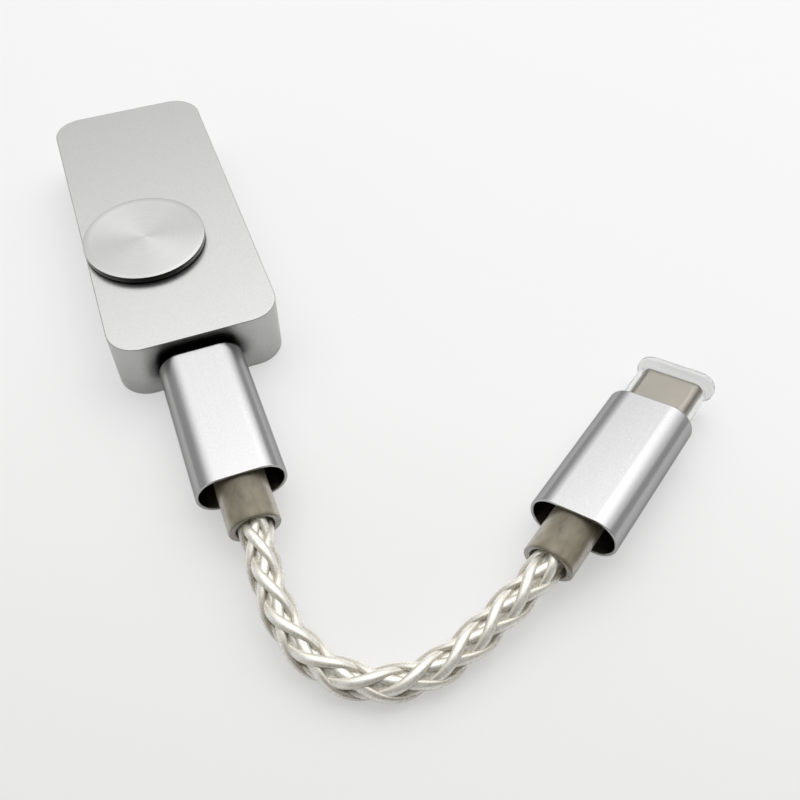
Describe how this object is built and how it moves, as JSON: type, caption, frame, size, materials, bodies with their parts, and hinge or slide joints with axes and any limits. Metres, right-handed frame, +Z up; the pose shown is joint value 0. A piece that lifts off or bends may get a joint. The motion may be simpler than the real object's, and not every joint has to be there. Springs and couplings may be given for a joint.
{
  "type": "portable usb dac and headphone amplifier",
  "caption": "Slim aluminium USB-C DAC with a thumb-turned volume disc on top, headphone socket and short braided lead ending in a capped USB-C plug.",
  "frame": {"origin": "on the underside of the case, below the middle of its plan (the lead and its free plug are left out of the measure)", "axes": "+Z up through the volume disc, +Y along the case from the USB-C end to the headphone end, +X to the right of the case seen from the USB-C end"},
  "size_m": [0.0732, 0.1065, 0.01],
  "materials": {
    "blasted_aluminium": "fine bead-blasted, clear anodised",
    "spun_aluminium": "fine circular spun lines",
    "satin_aluminium": "satin, drawn",
    "plate_aluminium": "plain anodised",
    "stainless_steel": "satin",
    "screw_steel": "blackened",
    "contact_metal": "gold plated",
    "solder_mask": "green solder mask on glass-epoxy board",
    "chip_black": "moulded epoxy",
    "crystal_can": "satin",
    "capacitor_case": "moulded",
    "ferrite_grey": "ferrite",
    "black_plastic": "moulded",
    "smoke_sleeve": "smoky translucent tube",
    "silver_braid": "silver-plated strands in clear jackets",
    "clear_cap": "milky translucent soft plastic"
  },
  "bodies": {
    "case_body": {"case_shell": "blasted_aluminium", "base_plate": "plate_aluminium", "base_screw_1": "screw_steel", "base_screw_2": "screw_steel", "base_screw_3": "screw_steel", "base_screw_4": "screw_steel", "circuit_board": "solder_mask", "usb_socket_shell": "stainless_steel", "usb_socket_tongue": "black_plastic", "audio_jack_body": "black_plastic", "jack_ring": "stainless_steel", "jack_tip_contact": "contact_metal", "jack_ring_contact": "contact_metal", "jack_sleeve_contact": "contact_metal", "dac_chip": "chip_black", "headphone_amp_chip": "chip_black", "usb_bridge_chip": "chip_black", "audio_crystal": "crystal_can", "usb_crystal": "crystal_can", "output_capacitor_1": "capacitor_case", "output_capacitor_2": "capacitor_case", "supply_capacitor_1": "capacitor_case", "supply_capacitor_2": "capacitor_case", "power_inductor": "ferrite_grey", "encoder_base": "black_plastic", "encoder_cover": "stainless_steel"},
    "knob_body": {"volume_knob": "spun_aluminium", "knob_shaft": "stainless_steel", "encoder_rotor": "contact_metal"},
    "cable_body": {"near_plug_shell": "satin_aluminium", "near_plug_core": "black_plastic", "near_plug_tip": "stainless_steel", "near_plug_insert": "black_plastic", "near_sleeve": "smoke_sleeve", "braided_cord": "silver_braid", "far_sleeve": "smoke_sleeve", "far_plug_core": "black_plastic", "far_plug_shell": "satin_aluminium", "far_plug_tip": "stainless_steel", "far_plug_insert": "black_plastic"},
    "cap_body": {"tip_cap": "clear_cap"}
  },
  "joints": [
    {"name": "knob_spin", "type": "hinge", "parent": "case_body", "child": "knob_body", "pos_m": [-0.00295, -0.0065, 0.0095], "axis": [0, 0, 1], "continuous": true},
    {"name": "cable_unplug", "type": "slide", "parent": "case_body", "child": "cable_body", "axis": [0, -1, 0], "range_m": [0, 0.012]},
    {"name": "cap_pull", "type": "slide", "parent": "cable_body", "child": "cap_body", "axis": [0.8325, 0.5531, -0.0332], "range_m": [0, 0.012]}
  ]
}
